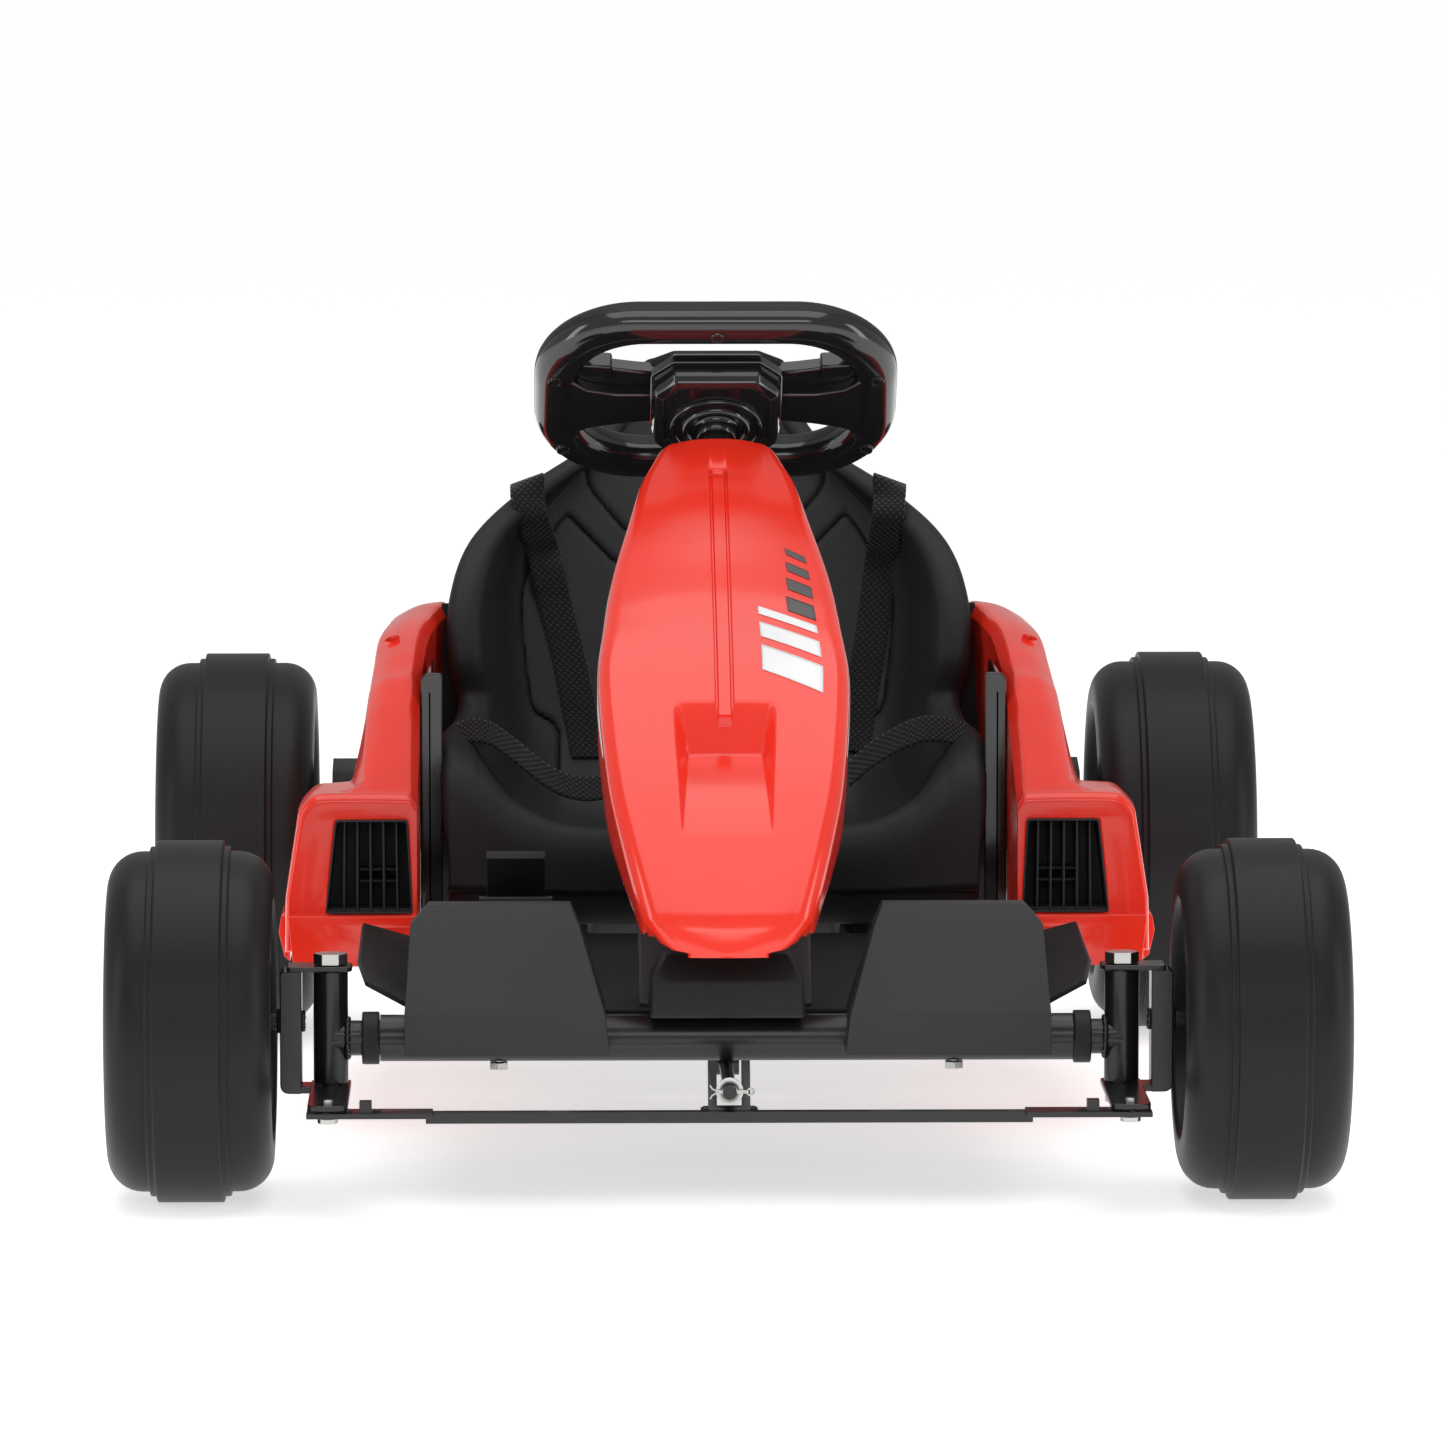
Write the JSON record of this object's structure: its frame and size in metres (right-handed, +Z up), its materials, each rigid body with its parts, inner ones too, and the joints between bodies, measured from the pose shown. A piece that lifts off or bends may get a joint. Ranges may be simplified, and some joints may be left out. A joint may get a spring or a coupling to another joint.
{
  "type": "kart chassis",
  "caption": "Child's kart chassis: tube frame, linked front steering, bucket seat with harness, nose fairing, side pods and moulded wheels.",
  "frame": {"origin": "on the floor, midway between the four outer faces of the tyres", "axes": "the kart faces -Y, its own left side is +X, +Z is up"},
  "size_m": [0.71, 0.9664, 0.5005],
  "materials": {
    "red_plastic": "glossy moulded red plastic",
    "black_plastic": "fine-textured black polyethylene",
    "gloss_black_plastic": "smooth glossy black plastic",
    "grey_plastic": "dark grey satin plastic",
    "tyre_black": "matte black moulded plastic tyre and wheel in one",
    "black_steel": "black powder coat",
    "zinc_steel": "bright zinc plate",
    "black_webbing": "woven polyester webbing"
  },
  "bodies": {
    "chassis": {"axle_plate_left": "black_steel", "axle_plate_right": "black_steel", "battery_case": "grey_plastic", "block_bolt_left": "zinc_steel", "block_bolt_right": "zinc_steel", "bumper_block_left": "black_plastic", "bumper_block_right": "black_plastic", "column_bearing_plate": "black_steel", "column_support": "grey_plastic", "controller_box": "black_plastic", "floor_tray": "black_plastic", "frame_rail_left": "black_steel", "frame_rail_right": "black_steel", "frame_rear_tube": "black_steel", "front_cover": "black_plastic", "front_cross_tube": "black_steel", "gearbox_left": "black_plastic", "gearbox_right": "black_plastic", "guard_panel_left": "gloss_black_plastic", "guard_panel_right": "gloss_black_plastic", "kingpin_housing_left": "black_steel", "kingpin_housing_right": "black_steel", "lap_belt_left": "black_webbing", "lap_belt_right": "black_webbing", "motor_left": "zinc_steel", "motor_right": "zinc_steel", "nose_fairing": "red_plastic", "pedal_base": "black_plastic", "rear_axle": "zinc_steel", "seat_base": "black_plastic", "seat_shell": "black_plastic", "seat_strut_left": "black_steel", "seat_strut_right": "black_steel", "shoulder_strap_left": "black_webbing", "shoulder_strap_right": "black_webbing", "side_pod_left": "red_plastic", "side_pod_right": "red_plastic", "tube_collar_left": "black_plastic", "tube_collar_right": "black_plastic", "vent_grille_left": "black_plastic", "vent_grille_right": "black_plastic"},
    "steering": {"steering_wheel": "gloss_black_plastic", "steering_hub": "black_plastic", "steering_column": "black_steel", "finger_washer": "zinc_steel", "split_pin": "zinc_steel"},
    "horn": {"horn_button": "grey_plastic"},
    "track_rod": {"tie_rod": "black_steel"},
    "knuckle_left_body": {"knuckle_left": "black_steel", "kingpin_bolt_left": "zinc_steel", "tie_rod_bolt_left": "zinc_steel"},
    "knuckle_right_body": {"knuckle_right": "black_steel", "kingpin_bolt_right": "zinc_steel", "tie_rod_bolt_right": "zinc_steel"},
    "front_wheel_left": {"wheel_front_left": "tyre_black"},
    "front_wheel_right": {"wheel_front_right": "tyre_black"},
    "rear_wheel_left": {"wheel_rear_left": "tyre_black"},
    "rear_wheel_right": {"wheel_rear_right": "tyre_black"},
    "pedal": {"accelerator_pedal": "black_plastic"}
  },
  "joints": [
    {"name": "steer", "type": "hinge", "parent": "chassis", "child": "steering", "pos_m": [0, -0.03925, 0.444], "axis": [0, 0.6428, 0.766], "range_deg": [-21.25, 21.25]},
    {"name": "tie_rod_slide", "type": "slide", "parent": "chassis", "child": "track_rod", "axis": [1, 0, 0], "range_m": [-0.0295, 0.0295]},
    {"name": "knuckle_left_turn", "type": "hinge", "parent": "chassis", "child": "knuckle_left_body", "pos_m": [0.2275, -0.37925, 0.104], "axis": [0, 0, 1], "range_deg": [-20.2, 20.2]},
    {"name": "knuckle_right_turn", "type": "hinge", "parent": "chassis", "child": "knuckle_right_body", "pos_m": [-0.2275, -0.37925, 0.104], "axis": [0, 0, 1], "range_deg": [-20.2, 20.2]},
    {"name": "wheel_front_left_spin", "type": "hinge", "parent": "knuckle_left_body", "child": "front_wheel_left", "pos_m": [0.3075, -0.37925, 0.104], "axis": [1, 0, 0], "continuous": true},
    {"name": "wheel_front_right_spin", "type": "hinge", "parent": "knuckle_right_body", "child": "front_wheel_right", "pos_m": [-0.3075, -0.37925, 0.104], "axis": [1, 0, 0], "continuous": true},
    {"name": "wheel_rear_left_spin", "type": "hinge", "parent": "chassis", "child": "rear_wheel_left", "pos_m": [0.304, 0.36075, 0.1225], "axis": [1, 0, 0], "continuous": true},
    {"name": "wheel_rear_right_spin", "type": "hinge", "parent": "chassis", "child": "rear_wheel_right", "pos_m": [-0.304, 0.36075, 0.1225], "axis": [1, 0, 0], "continuous": true},
    {"name": "pedal_press", "type": "hinge", "parent": "chassis", "child": "pedal", "pos_m": [-0.1215, -0.14725, 0.134], "axis": [1, 0, 0], "range_deg": [0, 12], "stiffness_Nm_per_rad": 1.5, "springref_deg": -5.73},
    {"name": "horn_press", "type": "slide", "parent": "steering", "child": "horn", "axis": [0, -0.6428, -0.766], "range_m": [0, 0.002], "stiffness_N_per_m": 300, "springref_m": -0.002}
  ],
  "couplings": [
    {"joint": "tie_rod_slide", "follows": "steer", "m_per_rad": 0.07846},
    {"joint": "knuckle_left_turn", "follows": "steer", "ratio": 0.9412},
    {"joint": "knuckle_right_turn", "follows": "steer", "ratio": 0.9412}
  ]
}
